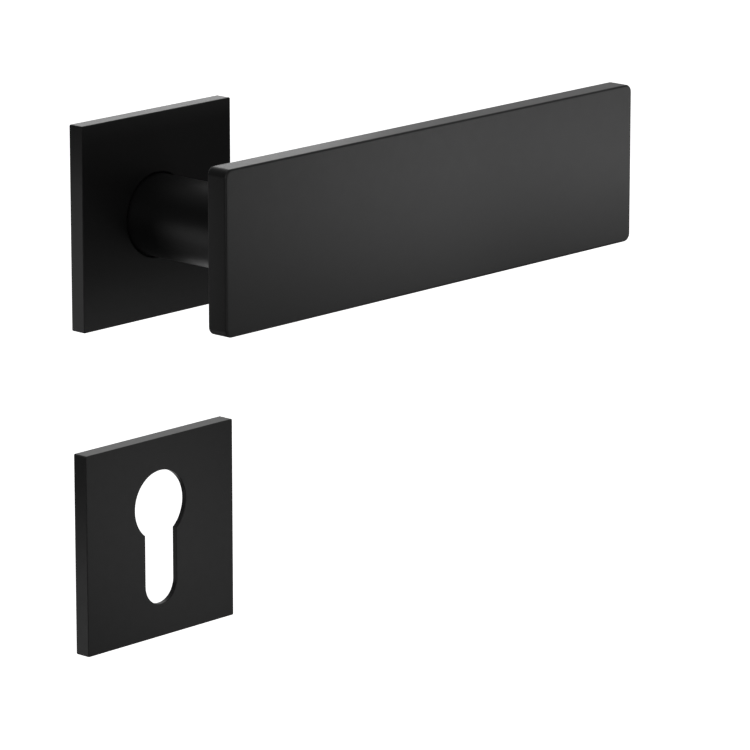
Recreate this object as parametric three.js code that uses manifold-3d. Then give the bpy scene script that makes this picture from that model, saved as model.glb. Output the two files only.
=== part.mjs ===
// A door lever on a thin square rose, with the matching square escutcheon for a euro profile
// cylinder. Millimetres. X runs right along the door, +Y into the door and +Z up. The door's face
// is y = 0, and the lever turns about the Y axis.
import * as THREE from "three";
import { mergeVertices } from "three/addons/utils/BufferGeometryUtils.js";
import Module from "manifold-3d";

const wasm = await Module();
wasm.setup();

// Driving dimensions
const PLATE_SIDE = 50; // the rose's and the escutcheon's cover, each way
const COVER_DEPTH = 4.2; // how far a cover stands off the door
const COVER_WALL = 1.3;
const LEVER_LENGTH = 145;
const LEVER_HEIGHT = 40;
const LEVER_THICKNESS = 6;
const LEVER_REACH = 47.5; // from the door to the lever's front face
const LEVER_OVERHANG = 21; // of the lever past the spindle's axis, on the hinge side
const LEVER_CORNER = 2; // radius of the outline's corners
const LEVER_EDGE = 0.8; // radius of the rounding along its edges
const NECK_RADIUS = 10;
const NECK_GAP = 0.4; // round the neck, in the rose's hole
const JOURNAL_RADIUS = 8; // the neck's end, which runs in the bush
const SPINDLE_SIDE = 8; // DIN square
const SPINDLE_REACH = 22; // how far the spindle stands behind the door's face
const CYLINDER_DISTANCE = 72; // spindle axis down to the lock cylinder's axis, a DIN distance
const CUTOUT_HEIGHT = 33.6; // euro profile cut-out
const CUTOUT_RADIUS = 8.65;
const CUTOUT_SLOT = 5.3; // half of the slot's width
const HOUSING_RADIUS = 14.4; // the spring housing behind the rose, in the door's bore
const HOUSING_DEPTH = 9.9;
const HOUSING_WALL = 1.2;
const TRAVEL = 40; // degrees that the lever turns
const RUNNING_GAP = 0.1; // radial clearance between the journal and its bush
const SLIP = 0.1; // clearance of pieces that only have to go together
const OVERLAP = 0.5; // how far joined solids run into one another
const BEYOND = 1; // how far a cutting solid runs past what it cuts

// Sizes worked out from them
const HALF_PLATE = PLATE_SIDE / 2;
const COVER_FRONT = -COVER_DEPTH;
const COVER_INNER = COVER_FRONT + COVER_WALL; // back of a cover's front panel
const LEVER_BACK = LEVER_THICKNESS - LEVER_REACH;
const CUTOUT_RISE = CUTOUT_HEIGHT / 2 - CUTOUT_RADIUS; // round part's centre above the plate's
const ESCUTCHEON_Z = -(CYLINDER_DISTANCE + CUTOUT_RISE);

// The mounting plates that the covers snap onto
const BASE_PLAY = 0.3; // between a plate's edge and its cover's wall
const BASE_SIDE = PLATE_SIDE - 2 * (COVER_WALL + BASE_PLAY);
const BASE_THICKNESS = 2.4;
const HALF_BASE = BASE_SIDE / 2;
const FIXING_PITCH = 38; // between opposite fixing holes
const BOLT_HOLE = 2.15;
const SCREW = { head: 3.4, shank: 1.75, length: 16, point: 5, hole: 0.2 };
const SHORT_SCREW = { ...SCREW, length: 12, point: 3.5 };
const CROSS = { across: 3.8, arm: 0.9, depth: 1.3 };
const ESCUTCHEON_SCREW_X = 14.5;
const ESCUTCHEON_SCREW_Z = 18;
const CLIP = { z: 12, chord: 11.4, thickness: 0.4, bow: 1.8, width: 1.6, grip: 0.2 };
const CLIP_POCKET = { depth: 1.8, length: 12 };
const CLIP_GROOVE = { depth: 0.3, length: 7, back: -0.4 };

// The bearing, from the rose's face backwards
const BUSH_FRONT = COVER_INNER + 0.05;
const BUSH_BORE = JOURNAL_RADIUS + RUNNING_GAP;
const BUSH_SLEEVE = JOURNAL_RADIUS + 1.1;
const BUSH_FLANGE = JOURNAL_RADIUS + 3;
const SHOULDER = BUSH_FRONT - SLIP; // where the neck steps down to its journal
const HUB_BACK = 1.6;
const WASHER = { front: HUB_BACK + 0.1, back: HUB_BACK + 0.6, radius: 9.5, bore: 8.15 };
const GROOVE = { front: 2.35, back: 3.45, radius: JOURNAL_RADIUS - 0.5 };
const RING = { inner: 7.6, outer: 9.4, opening: 14 }; // opening in degrees, either side of the top
const RING_EAR = { angle: 20, distance: 9.2, radius: 1.4, hole: 0.6 };
const JOURNAL_END = 4.4;

// The return spring's chamber, behind the bearing
const DRIVER = { front: 4.8, disc: 5.9, back: HOUSING_DEPTH - 0.3, radius: 12.6, hub: 7.3 };
const STOP_BACK = DRIVER.disc + 0.3; // the spring's anchor starts here, behind the stop
// Angles (from, to, gap) in degrees round the axis, from +X towards +Z
const STOP = { from: 263, to: 277, gap: 1.5, inner: 9.8, slack: 0.3 };
const TANG = { from: 82, to: 98, inner: 9.8, outer: 12.4 };
const ANCHOR = { from: 298, to: 313, inner: 10.8 };
const SPRING = { wire: 0.55, coil: 8.6, reach: 12.4, turns: 2, frontGap: 0.15, backGap: 0.05 };
const LID_THICKNESS = 0.8;
const LID_HOLE = 6.2;
const LID_SCREW = { radius: 1, head: 1.9, headHeight: 1.2, length: 6, point: 0.6, crown: 0.5 };
const LID_SCREW_HOLE = 1.15;
const LID_PILOT = { radius: 1.05, depth: 6.5 };
const SMALL_CROSS = { across: 2.2, arm: 0.5, depth: 0.7 };
const LID_EAR = { radius: 2.3, distance: 15.6 };

// The neck's joints with its neighbours
const SOCKET = SPINDLE_SIDE + 0.2;
const SOCKET_FLOOR = -32;
const SPIGOT = { side: 12, length: 3, endGap: 0.3 }; // the neck's square end, in the lever
const GRUB = { y: -15, radius: 2.85, hole: 3, tip: 4.1, end: 9.7, key: 3, keyDepth: 2.6 };

// One material for each finish
const finish = (color, roughness, metalness) =>
  new THREE.MeshStandardMaterial({ color, roughness, metalness });
const BLACK_COAT = finish(0x1b1b1c, 0.5, 0.2);
const ZINC = finish(0x9b9da0, 0.55, 0.9);
const STEEL = finish(0xb4b6ba, 0.35, 1);
const SPRING_STEEL = finish(0x4c4e52, 0.4, 1);
const NYLON = finish(0x17181a, 0.6, 0);

const radians = THREE.MathUtils.degToRad;
const SMOOTH = 24; // curve segments in half a circle
const COARSE = 8; // the same, for small arcs

// ---- Outlines, drawn as x and z -------------------------------------------------------------

function circle(radius, x = 0, z = 0) {
  return new THREE.Shape().absarc(x, z, radius, 0, 2 * Math.PI);
}

// A rectangle about (x, z), with rounded corners where a radius is given.
function rectangle(width, height, x = 0, z = 0, radius = 0) {
  const shape = new THREE.Shape();
  const [right, top] = [width / 2 - radius, height / 2 - radius];
  if (radius === 0) {
    shape.moveTo(x + right, z - top);
    shape.lineTo(x + right, z + top);
    shape.lineTo(x - right, z + top);
    shape.lineTo(x - right, z - top);
    return shape;
  }
  shape.absarc(x + right, z + top, radius, 0, Math.PI / 2);
  shape.absarc(x - right, z + top, radius, Math.PI / 2, Math.PI);
  shape.absarc(x - right, z - top, radius, Math.PI, 1.5 * Math.PI);
  shape.absarc(x + right, z - top, radius, 1.5 * Math.PI, 2 * Math.PI);
  return shape;
}

// A piece of a ring, between two angles in degrees from +X towards +Z.
function sector(inner, outer, from, to) {
  const shape = new THREE.Shape();
  shape.absarc(0, 0, outer, radians(from), radians(to));
  shape.absarc(0, 0, inner, radians(to), radians(from), true);
  return shape;
}

// The euro profile: a circle with a slot below it that ends in a half circle.
function profileCutout(offset, centreZ) {
  const radius = CUTOUT_RADIUS + offset;
  const slot = CUTOUT_SLOT + offset;
  const roundZ = centreZ + CUTOUT_RISE;
  const slotEndZ = centreZ - CUTOUT_HEIGHT / 2 + CUTOUT_SLOT;
  const meet = Math.asin(slot / radius);
  const shape = new THREE.Shape();
  shape.absarc(0, roundZ, radius, meet - Math.PI / 2, 1.5 * Math.PI - meet);
  shape.absarc(0, slotEndZ, slot, Math.PI, 2 * Math.PI);
  return shape;
}

// ---- Solids ---------------------------------------------------------------------------------

// An outline, less its holes, made into a solid between y = front and y = back.
function along(outline, front, back, holes = [], curveSegments = SMOOTH) {
  outline.holes = holes;
  const options = { depth: back - front, bevelEnabled: false, curveSegments };
  return new THREE.ExtrudeGeometry(outline, options)
    .rotateX(Math.PI / 2)
    .translate(0, back, 0);
}

// A turned solid about the Y axis, from points given as [radius, y] from front to back.
function turned(points, segments = 2 * SMOOTH) {
  return new THREE.LatheGeometry(
    points.map(([radius, y]) => new THREE.Vector2(radius, y)),
    segments,
  );
}

function solidOf(geometry) {
  const bare = geometry.clone();
  bare.deleteAttribute("normal");
  bare.deleteAttribute("uv");
  const merged = mergeVertices(bare, 1e-4);
  return new wasm.Manifold(
    new wasm.Mesh({
      numProp: 3,
      vertProperties: merged.attributes.position.array,
      triVerts: new Uint32Array(merged.index.array),
    }),
  );
}

function geometryOf(solid) {
  const mesh = solid.getMesh();
  const geometry = new THREE.BufferGeometry();
  geometry.setAttribute("position", new THREE.BufferAttribute(mesh.vertProperties, 3));
  geometry.setIndex(new THREE.BufferAttribute(mesh.triVerts, 1));
  geometry.computeVertexNormals();
  return geometry;
}

const alongCoarse = (outline, front, back) => along(outline, front, back, [], COARSE);

const join = (...pieces) => geometryOf(pieces.map(solidOf).reduce((a, b) => a.add(b)));

const cut = (body, ...tools) =>
  geometryOf(tools.map(solidOf).reduce((a, b) => a.subtract(b), solidOf(body)));

// ---- The parts the hand and the eye meet ----------------------------------------------------

function leverPlate() {
  const x = LEVER_LENGTH / 2 - LEVER_OVERHANG;
  const outline = rectangle(LEVER_LENGTH, LEVER_HEIGHT, x, 0, LEVER_CORNER);
  const plate = new THREE.ExtrudeGeometry(outline, {
    depth: LEVER_THICKNESS - 2 * LEVER_EDGE,
    bevelThickness: LEVER_EDGE,
    bevelSize: LEVER_EDGE,
    bevelOffset: -LEVER_EDGE,
    bevelSegments: 4,
    curveSegments: 6,
  })
    .rotateX(Math.PI / 2)
    .translate(0, LEVER_BACK - LEVER_EDGE, 0);
  const pocketSide = SPIGOT.side + SLIP;
  const pocketFloor = LEVER_BACK - SPIGOT.length - SPIGOT.endGap;
  const pocket = along(rectangle(pocketSide, pocketSide), pocketFloor, LEVER_BACK + BEYOND);
  return cut(plate, pocket);
}

function neck() {
  const body = turned([
    [0, LEVER_BACK],
    [NECK_RADIUS, LEVER_BACK],
    [NECK_RADIUS, SHOULDER],
    [JOURNAL_RADIUS, SHOULDER],
    [JOURNAL_RADIUS, GROOVE.front],
    [GROOVE.radius, GROOVE.front],
    [GROOVE.radius, GROOVE.back],
    [JOURNAL_RADIUS, GROOVE.back],
    [JOURNAL_RADIUS, JOURNAL_END],
    [0, JOURNAL_END],
  ]);
  const spigotFront = LEVER_BACK - SPIGOT.length;
  const spigot = along(rectangle(SPIGOT.side, SPIGOT.side), spigotFront, LEVER_BACK);
  const socket = along(rectangle(SOCKET, SOCKET), SOCKET_FLOOR, JOURNAL_END + BEYOND);
  const grubHole = new THREE.CylinderGeometry(GRUB.hole, GRUB.hole, NECK_RADIUS, 32)
    .rotateX(Math.PI / 2)
    .translate(0, GRUB.y, -NECK_RADIUS / 2 - BEYOND);
  return cut(join(body, spigot), socket, grubHole);
}

// A thin square cover, open towards the door, with an opening through its front.
function cover(opening, centreZ) {
  const inside = PLATE_SIDE - 2 * COVER_WALL;
  const square = () => rectangle(PLATE_SIDE, PLATE_SIDE, 0, centreZ);
  const panel = along(square(), COVER_FRONT, COVER_INNER, [opening]);
  const rim = along(square(), COVER_INNER, 0, [rectangle(inside, inside, 0, centreZ)]);
  const grooves = [-1, 1].map((side) => clipGroove(side, centreZ));
  return cut(join(panel, rim), ...grooves);
}

// The shallow groove in a cover's side wall that its clip springs into.
function clipGroove(side, centreZ) {
  const x = side * (HALF_PLATE - COVER_WALL + (CLIP_GROOVE.depth - SLIP) / 2);
  const z = centreZ - side * CLIP.z;
  const outline = rectangle(CLIP_GROOVE.depth + SLIP, CLIP_GROOVE.length, x, z);
  return along(outline, -BASE_THICKNESS, CLIP_GROOVE.back);
}

// ---- What lies behind the covers ------------------------------------------------------------

// The two arms of a cross recess, from a screw's end face inwards along the sense of Y given.
function crossRecess(cross, face, sense) {
  const [front, back] = [face - sense * BEYOND, face + sense * cross.depth].sort((a, b) => a - b);
  return [
    along(rectangle(cross.across, cross.arm), front, back),
    along(rectangle(cross.arm, cross.across), front, back),
  ];
}

// A countersunk wood screw, less its cross recess, grown by a clearance to cut its hole.
function screwBody(screw, clearance = 0) {
  const head = screw.head + clearance;
  const shank = screw.shank + clearance;
  const front = -BASE_THICKNESS;
  return turned(
    [
      [0, front],
      [head, front],
      [shank, front + screw.head - screw.shank],
      [shank, front + screw.length - screw.point],
      [0, front + screw.length],
    ],
    24,
  );
}

const woodScrew = (screw) => cut(screwBody(screw), ...crossRecess(CROSS, -BASE_THICKNESS, 1));

const screwHole = (screw, x, z) => screwBody(screw, screw.hole).translate(x, 0, z);

// The pocket in a mounting plate's side edge that holds a cover clip.
function clipPocket(side, centreZ) {
  const x = side * (HALF_BASE + (BEYOND - CLIP_POCKET.depth) / 2);
  const z = centreZ - side * CLIP.z;
  const outline = rectangle(CLIP_POCKET.depth + BEYOND, CLIP_POCKET.length, x, z);
  return along(outline, -BASE_THICKNESS - BEYOND, BEYOND);
}

// A bowed leaf spring whose middle stands out of the plate's edge into the cover's groove.
function clip(side) {
  const half = CLIP.chord / 2;
  const outer = (half ** 2 + CLIP.bow ** 2) / (2 * CLIP.bow);
  const crown = HALF_PLATE - COVER_WALL + CLIP.grip;
  const sweep = Math.asin(half / outer);
  const leaf = new THREE.Shape();
  leaf.absarc(crown - outer, 0, outer, -sweep, sweep);
  leaf.absarc(crown - outer, 0, outer - CLIP.thickness, sweep, -sweep, true);
  const back = -(BASE_THICKNESS - CLIP.width) / 2;
  const geometry = alongCoarse(leaf, back - CLIP.width, back);
  return side > 0 ? geometry : geometry.rotateY(Math.PI);
}

function basePlate(centreZ, holes) {
  return along(rectangle(BASE_SIDE, BASE_SIDE, 0, centreZ), -BASE_THICKNESS, 0, holes);
}

// A place on the ring of the two lid screws: side 1 is upper right, side -1 is lower left.
function lidScrewPlace(side) {
  const place = LID_EAR.distance * Math.SQRT1_2 * side;
  return [place, place];
}

function rosePlate() {
  const bore = () => circle(BUSH_SLEEVE + SLIP);
  const chamber = HOUSING_RADIUS - HOUSING_WALL;
  const reach = FIXING_PITCH / 2;
  const ears = [-1, 1].map((side) =>
    alongCoarse(circle(LID_EAR.radius, ...lidScrewPlace(side)), -OVERLAP, HOUSING_DEPTH),
  );
  const pilots = [-1, 1].map((side) => {
    const hole = circle(LID_PILOT.radius, ...lidScrewPlace(side));
    return alongCoarse(hole, HOUSING_DEPTH - LID_PILOT.depth, HOUSING_DEPTH + BEYOND);
  });
  const bolts = [-reach, reach].map((x) =>
    alongCoarse(circle(BOLT_HOLE, x, 0), -BASE_THICKNESS - BEYOND, BEYOND),
  );
  const body = join(
    basePlate(0, [bore()]),
    along(circle(HOUSING_RADIUS), -OVERLAP, HUB_BACK, [bore()]),
    along(circle(HOUSING_RADIUS), 0, HOUSING_DEPTH, [circle(chamber)]),
    ...ears,
  );
  const screws = [-reach, reach].map((z) => screwHole(SCREW, 0, z));
  const pockets = [-1, 1].map((side) => clipPocket(side, 0));
  const lugs = [
    alongCoarse(
      sector(STOP.inner, chamber + OVERLAP, STOP.from, STOP.to),
      HUB_BACK - OVERLAP,
      STOP_BACK,
    ),
    alongCoarse(
      sector(ANCHOR.inner, chamber + OVERLAP, ANCHOR.from, ANCHOR.to),
      STOP_BACK,
      HOUSING_DEPTH - SLIP,
    ),
  ];
  return join(cut(body, ...bolts, ...pilots, ...screws, ...pockets), ...lugs);
}

function escutcheonPlate() {
  const clearance = 3; // keeps the plate out of sight behind the cover's cut-out
  const screws = [-1, 1].map((side) =>
    screwHole(
      SHORT_SCREW,
      side * ESCUTCHEON_SCREW_X,
      ESCUTCHEON_Z + side * ESCUTCHEON_SCREW_Z,
    ),
  );
  const pockets = [-1, 1].map((side) => clipPocket(side, ESCUTCHEON_Z));
  const plate = basePlate(ESCUTCHEON_Z, [profileCutout(clearance, ESCUTCHEON_Z)]);
  return cut(plate, ...screws, ...pockets);
}

function bearingBush() {
  return turned([
    [BUSH_BORE, BUSH_FRONT],
    [BUSH_FLANGE, BUSH_FRONT],
    [BUSH_FLANGE, -BASE_THICKNESS],
    [BUSH_SLEEVE, -BASE_THICKNESS],
    [BUSH_SLEEVE, HUB_BACK],
    [BUSH_BORE, HUB_BACK],
    [BUSH_BORE, BUSH_FRONT],
  ]);
}

function thrustWasher() {
  return along(circle(WASHER.radius), WASHER.front, WASHER.back, [circle(WASHER.bore)]);
}

// An open ring with two eared ends, for its pliers, above the axis.
function retainingRing() {
  const [front, back] = [GROOVE.front + SLIP, GROOVE.back - SLIP];
  const [from, to] = [90 + RING.opening, 450 - RING.opening];
  const ring = along(sector(RING.inner, RING.outer, from, to), front, back);
  const places = [-1, 1].map((side) => {
    const angle = radians(90 + side * RING_EAR.angle);
    return [RING_EAR.distance * Math.cos(angle), RING_EAR.distance * Math.sin(angle)];
  });
  const ears = places.map((place) => alongCoarse(circle(RING_EAR.radius, ...place), front, back));
  const bore = along(circle(RING.inner), front - BEYOND, back + BEYOND);
  const holes = places.map((place) =>
    alongCoarse(circle(RING_EAR.hole, ...place), front - BEYOND, back + BEYOND),
  );
  return cut(join(ring, ...ears), bore, ...holes);
}

// The cam on the spindle: a notch in its disc meets the housing's stop at both ends of the
// lever's travel, and the tang on its back pushes the spring.
function springDriver() {
  const square = () => rectangle(SPINDLE_SIDE + SLIP, SPINDLE_SIDE + SLIP);
  const notchInner = STOP.inner - STOP.slack;
  const notchFrom = STOP.from - STOP.gap;
  const notchTo = STOP.to + STOP.gap + TRAVEL;
  const disc = along(circle(DRIVER.radius), DRIVER.front, DRIVER.disc, [square()]);
  const notch = alongCoarse(
    sector(notchInner, DRIVER.radius + BEYOND, notchFrom, notchTo),
    DRIVER.front - BEYOND,
    DRIVER.disc + BEYOND,
  );
  const hub = along(circle(DRIVER.hub), DRIVER.disc - OVERLAP, DRIVER.back, [square()]);
  const tang = alongCoarse(
    sector(TANG.inner, TANG.outer, TANG.from, TANG.to),
    DRIVER.disc - OVERLAP,
    DRIVER.back,
  );
  return join(cut(disc, notch), hub, tang);
}

// A torsion spring round the driver's hub. Its legs leave the coil as tangents: the back one
// bears on the housing's anchor and the front one on the driver's tang.
function returnSpring() {
  const leg = Math.sqrt(SPRING.reach ** 2 - SPRING.coil ** 2);
  const legAngle = THREE.MathUtils.radToDeg(Math.atan2(leg, SPRING.coil));
  const tipGap = 3.5; // degrees between a leg's tip and the face it bears on
  const start = ANCHOR.to + tipGap + legAngle - 360;
  const end = TANG.from - tipGap - legAngle + 360 * SPRING.turns;
  const backY = DRIVER.back - SPRING.wire - SPRING.backGap;
  const frontY = DRIVER.disc + SPRING.wire + SPRING.frontGap;
  const coilPoint = (angle, y) => [
    SPRING.coil * Math.cos(radians(angle)),
    y,
    SPRING.coil * Math.sin(radians(angle)),
  ];
  const tangent = (angle, y, distance) => {
    const [x, , z] = coilPoint(angle, y);
    const [sine, cosine] = [Math.sin(radians(angle)), Math.cos(radians(angle))];
    return [x - sine * distance, y, z + cosine * distance];
  };
  const points = [tangent(start, backY, -leg), tangent(start, backY, -leg / 2)];
  const steps = 24 * SPRING.turns;
  for (let i = 0; i <= steps; i++) {
    const t = i / steps;
    points.push(coilPoint(start + (end - start) * t, backY + (frontY - backY) * t));
  }
  points.push(tangent(end, frontY, leg / 2), tangent(end, frontY, leg));
  const path = new THREE.CatmullRomCurve3(points.map((p) => new THREE.Vector3(...p)));
  const section = circle(SPRING.wire);
  return new THREE.ExtrudeGeometry(section, {
    extrudePath: path,
    steps: 50 * SPRING.turns,
    curveSegments: 4,
  });
}

function housingLid() {
  const [front, back] = [HOUSING_DEPTH, HOUSING_DEPTH + LID_THICKNESS];
  const ears = [-1, 1].map((side) =>
    alongCoarse(circle(LID_EAR.radius, ...lidScrewPlace(side)), front, back),
  );
  const holes = [-1, 1].map((side) =>
    alongCoarse(circle(LID_SCREW_HOLE, ...lidScrewPlace(side)), front - BEYOND, back + BEYOND),
  );
  const disc = along(circle(HOUSING_RADIUS), front, back, [circle(LID_HOLE)]);
  return cut(join(disc, ...ears), ...holes);
}

// A small pan head screw through the lid, with a cross recess.
function lidScrew() {
  const seat = HOUSING_DEPTH + LID_THICKNESS;
  const top = seat + LID_SCREW.headHeight;
  const body = turned(
    [
      [0, seat - LID_SCREW.length],
      [LID_SCREW.radius, seat - LID_SCREW.length + LID_SCREW.point],
      [LID_SCREW.radius, seat],
      [LID_SCREW.head, seat],
      [LID_SCREW.head, top - LID_SCREW.crown],
      [LID_SCREW.head - LID_SCREW.crown, top],
      [0, top],
    ],
    24,
  );
  return cut(body, ...crossRecess(SMALL_CROSS, top, -1));
}

function spindle() {
  const chamfer = 0.6;
  const front = SOCKET_FLOOR + 1;
  return new THREE.ExtrudeGeometry(rectangle(SPINDLE_SIDE, SPINDLE_SIDE), {
    depth: SPINDLE_REACH - front - 2 * chamfer,
    bevelThickness: chamfer,
    bevelSize: chamfer,
    bevelOffset: -chamfer,
    bevelSegments: 1,
  })
    .rotateX(Math.PI / 2)
    .translate(0, SPINDLE_REACH - chamfer, 0);
}

// The set screw that clamps the neck on the spindle, with a hexagon socket in its lower end.
function grubScrew() {
  const length = GRUB.end - GRUB.tip;
  const keyRadius = GRUB.key / Math.sqrt(3);
  const bodyGeometry = new THREE.CylinderGeometry(GRUB.radius, GRUB.radius, length, 32);
  const key = new THREE.CylinderGeometry(keyRadius, keyRadius, 2 * GRUB.keyDepth, 6);
  return cut(bodyGeometry, key.translate(0, -length / 2, 0))
    .rotateX(Math.PI / 2)
    .translate(0, GRUB.y, -(GRUB.tip + length / 2));
}

// ---- The assembly ---------------------------------------------------------------------------

function mesh(name, geometry, material, x = 0, z = 0) {
  const piece = new THREE.Mesh(geometry, material);
  piece.name = name;
  piece.position.set(x, 0, z);
  return piece;
}

function leverGroup() {
  const group = new THREE.Group();
  group.add(
    mesh("lever_plate", leverPlate(), BLACK_COAT),
    mesh("neck", neck(), BLACK_COAT),
    mesh("grub_screw", grubScrew(), STEEL),
    mesh("spindle", spindle(), STEEL),
    mesh("spring_driver", springDriver(), ZINC),
    mesh("thrust_washer", thrustWasher(), STEEL),
    mesh("retaining_ring", retainingRing(), SPRING_STEEL),
  );
  return group;
}

// The two clips of one mounting plate. The left one sits high and the right one low.
function clips(owner, centreZ) {
  return [-1, 1].map((side) => {
    const name = owner + (side < 0 ? "_clip_left" : "_clip_right");
    return mesh(name, clip(side), SPRING_STEEL, 0, centreZ - side * CLIP.z);
  });
}

function roseGroup() {
  const group = new THREE.Group();
  const neckHole = circle(NECK_RADIUS + NECK_GAP);
  group.add(
    mesh("rose_cover", cover(neckHole, 0), BLACK_COAT),
    mesh("rose_plate", rosePlate(), ZINC),
    mesh("bearing_bush", bearingBush(), NYLON),
    mesh("return_spring", returnSpring(), SPRING_STEEL),
    mesh("housing_lid", housingLid(), STEEL),
    ...clips("rose", 0),
  );
  for (const [side, word] of [[1, "upper"], [-1, "lower"]]) {
    const z = (side * FIXING_PITCH) / 2;
    group.add(mesh("rose_screw_" + word, woodScrew(SCREW), STEEL, 0, z));
    group.add(mesh("lid_screw_" + word, lidScrew(), STEEL, ...lidScrewPlace(side)));
  }
  return group;
}

function escutcheonGroup() {
  const group = new THREE.Group();
  const keyhole = profileCutout(0, ESCUTCHEON_Z);
  group.add(
    mesh("escutcheon_cover", cover(keyhole, ESCUTCHEON_Z), BLACK_COAT),
    mesh("escutcheon_plate", escutcheonPlate(), ZINC),
    ...clips("escutcheon", ESCUTCHEON_Z),
  );
  for (const [side, word] of [[1, "upper"], [-1, "lower"]]) {
    const x = side * ESCUTCHEON_SCREW_X;
    const z = ESCUTCHEON_Z + side * ESCUTCHEON_SCREW_Z;
    group.add(mesh("escutcheon_screw_" + word, woodScrew(SHORT_SCREW), STEEL, x, z));
  }
  return group;
}

const set = new THREE.Group();
set.add(leverGroup(), roseGroup(), escutcheonGroup());

export default set;
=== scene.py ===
"""The looks of a black door lever on a square rose, with its square escutcheon.

Metres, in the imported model's frame: X right along the door, +Y into the door, +Z up.
"""
import math

import bmesh
import bpy
from mathutils import Matrix, Vector

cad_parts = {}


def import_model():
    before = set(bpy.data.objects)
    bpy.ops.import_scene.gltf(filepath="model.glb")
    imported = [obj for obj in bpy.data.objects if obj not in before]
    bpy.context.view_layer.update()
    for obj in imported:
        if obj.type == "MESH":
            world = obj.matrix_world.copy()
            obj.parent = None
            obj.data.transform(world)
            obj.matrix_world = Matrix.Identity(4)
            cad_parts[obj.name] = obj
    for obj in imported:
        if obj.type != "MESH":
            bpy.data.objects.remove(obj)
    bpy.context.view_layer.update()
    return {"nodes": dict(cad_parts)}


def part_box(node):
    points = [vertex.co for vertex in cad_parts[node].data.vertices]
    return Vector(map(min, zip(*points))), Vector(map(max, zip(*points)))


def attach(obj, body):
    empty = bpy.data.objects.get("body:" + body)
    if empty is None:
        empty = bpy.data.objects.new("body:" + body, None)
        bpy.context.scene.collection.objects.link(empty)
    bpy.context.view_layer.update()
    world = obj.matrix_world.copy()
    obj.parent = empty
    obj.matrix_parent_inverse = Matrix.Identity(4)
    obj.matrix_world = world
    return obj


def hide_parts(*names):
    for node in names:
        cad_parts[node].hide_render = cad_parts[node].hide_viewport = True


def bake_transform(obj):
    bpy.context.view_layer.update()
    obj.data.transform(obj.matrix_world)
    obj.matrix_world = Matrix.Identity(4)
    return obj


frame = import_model()

MM = 0.001
TURN = 2 * math.pi
SAME_PLACE = 1e-7  # vertices nearer to each other than this are merged
SMOOTH_BELOW = 35  # edges with a smaller angle than this many degrees are shaded smooth

# The camera looks at this point on the door's plane, from this far and this direction.
CAMERA_TARGET = Vector((0.0810, 0.0, -0.0550))
CAMERA_DISTANCE = 1.369
CAMERA_YAW = math.radians(47.19)
CAMERA_PITCH = math.radians(13.90)
CAMERA_LENS = 259.8  # in mm, on a sensor of 36 mm

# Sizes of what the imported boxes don't show
SLIP = 0.1 * MM  # clearance of pieces that only have to go together
OVERLAP = 0.5 * MM  # how far joined solids run into one another
BEYOND = 1 * MM  # how far a cutter runs past what it cuts
COVER_WALL = 1.3 * MM
CUTOUT_HEIGHT = 33.6 * MM  # the euro profile, with the radius of its round part
CUTOUT_RADIUS = 8.65 * MM
CUTOUT_SLOT = 5.3 * MM  # half of the slot's width
NECK_GAP = 0.4 * MM  # round the neck, in the rose's hole
JOURNAL = 8.0 * MM  # radius of the neck's end, which runs in the bush
SLEEVE = 9.1 * MM  # radius of the bush
RING_GROOVE = 0.5 * MM  # depth of the retaining ring's groove
SOCKET_FLOOR = -32 * MM
GRUB_HOLE = 3.0 * MM
PLATE_CORNER = 0.8 * MM  # radius of the mounting plates' corners, and of their edges
PLATE_EDGE = 0.25 * MM
FIXING_REACH = 19 * MM  # from the rose's middle to its screws and its bolt holes
BOLT_HOLE = 2.15 * MM
SCREW_HEAD = 3.4 * MM
SCREW_SHANK = 1.75 * MM
SCREW_PLAY = 0.2 * MM
ESCUTCHEON_SCREW = (14.5 * MM, 18 * MM)  # across and up from the plate's middle
HOUSING_RADIUS = 14.4 * MM
CHAMBER = 13.2 * MM  # radius of the spring's space in the housing
HUB_BACK = 1.6 * MM
LID_EAR = 2.3 * MM
LID_EAR_DISTANCE = 15.6 * MM  # from the spindle's axis, up and to the right
LID_SCREW_HOLE = 1.15 * MM
LID_PILOT = 1.05 * MM
LID_PILOT_DEPTH = 6.5 * MM
CLIP_RISE = 12 * MM  # of the left clip above a plate's middle, and of the right one below it
CLIP_CHORD = 11.4 * MM
CLIP_BOW = 1.8 * MM
CLIP_THICKNESS = 0.4 * MM
LID_HOLE = 6.2 * MM
MARK_REACH = 19.5 * MM  # from a plate's middle to its ejector marks, across and up

# The return spring's driver and lugs. Angles are in degrees from +X towards +Z.
DRIVER_RADIUS = 12.6 * MM
DRIVER_HUB = 7.3 * MM
DRIVER_DISC_BACK = 5.9 * MM
LUG_INNER = 9.8 * MM  # where the stop and the tang start
LUG_ROOT = 0.4 * MM  # how far the stop and the anchor run into the housing's wall
LUG_GAP = 0.3 * MM  # between the driver and the housing's lugs
TANG_OUTER = 12.4 * MM
ANCHOR_INNER = 10.8 * MM
STOP = (263, 277)
ANCHOR = (298, 313)
TANG = (82, 98)
TRAVEL = 40
STOP_GAP = 1.5  # left at each end of the lever's travel
LEG_GAP = 3.5  # between a spring leg's tip and the face it bears on
SPRING_WIRE = 0.55 * MM
SPRING_COIL = 8.6 * MM
SPRING_TURNS = 2


# ---- Outlines ----------------------------------------------------------------------------------
# A shape is a function: given how far to move inwards, it gives its outline, a counterclockwise
# list of (x, z) points. The number of points doesn't change with the distance.


def arc(centre, radius, start, end, steps):
    """Points along an arc, both ends included. Angles are in radians from +X towards +Z."""
    points = []
    for i in range(steps + 1):
        angle = start + (end - start) * i / steps
        points.append((centre[0] + radius * math.cos(angle), centre[1] + radius * math.sin(angle)))
    return points


def circle(radius, steps=96):
    return lambda inset: arc((0.0, 0.0), radius - inset, 0.0, TURN, steps)[:-1]


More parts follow.
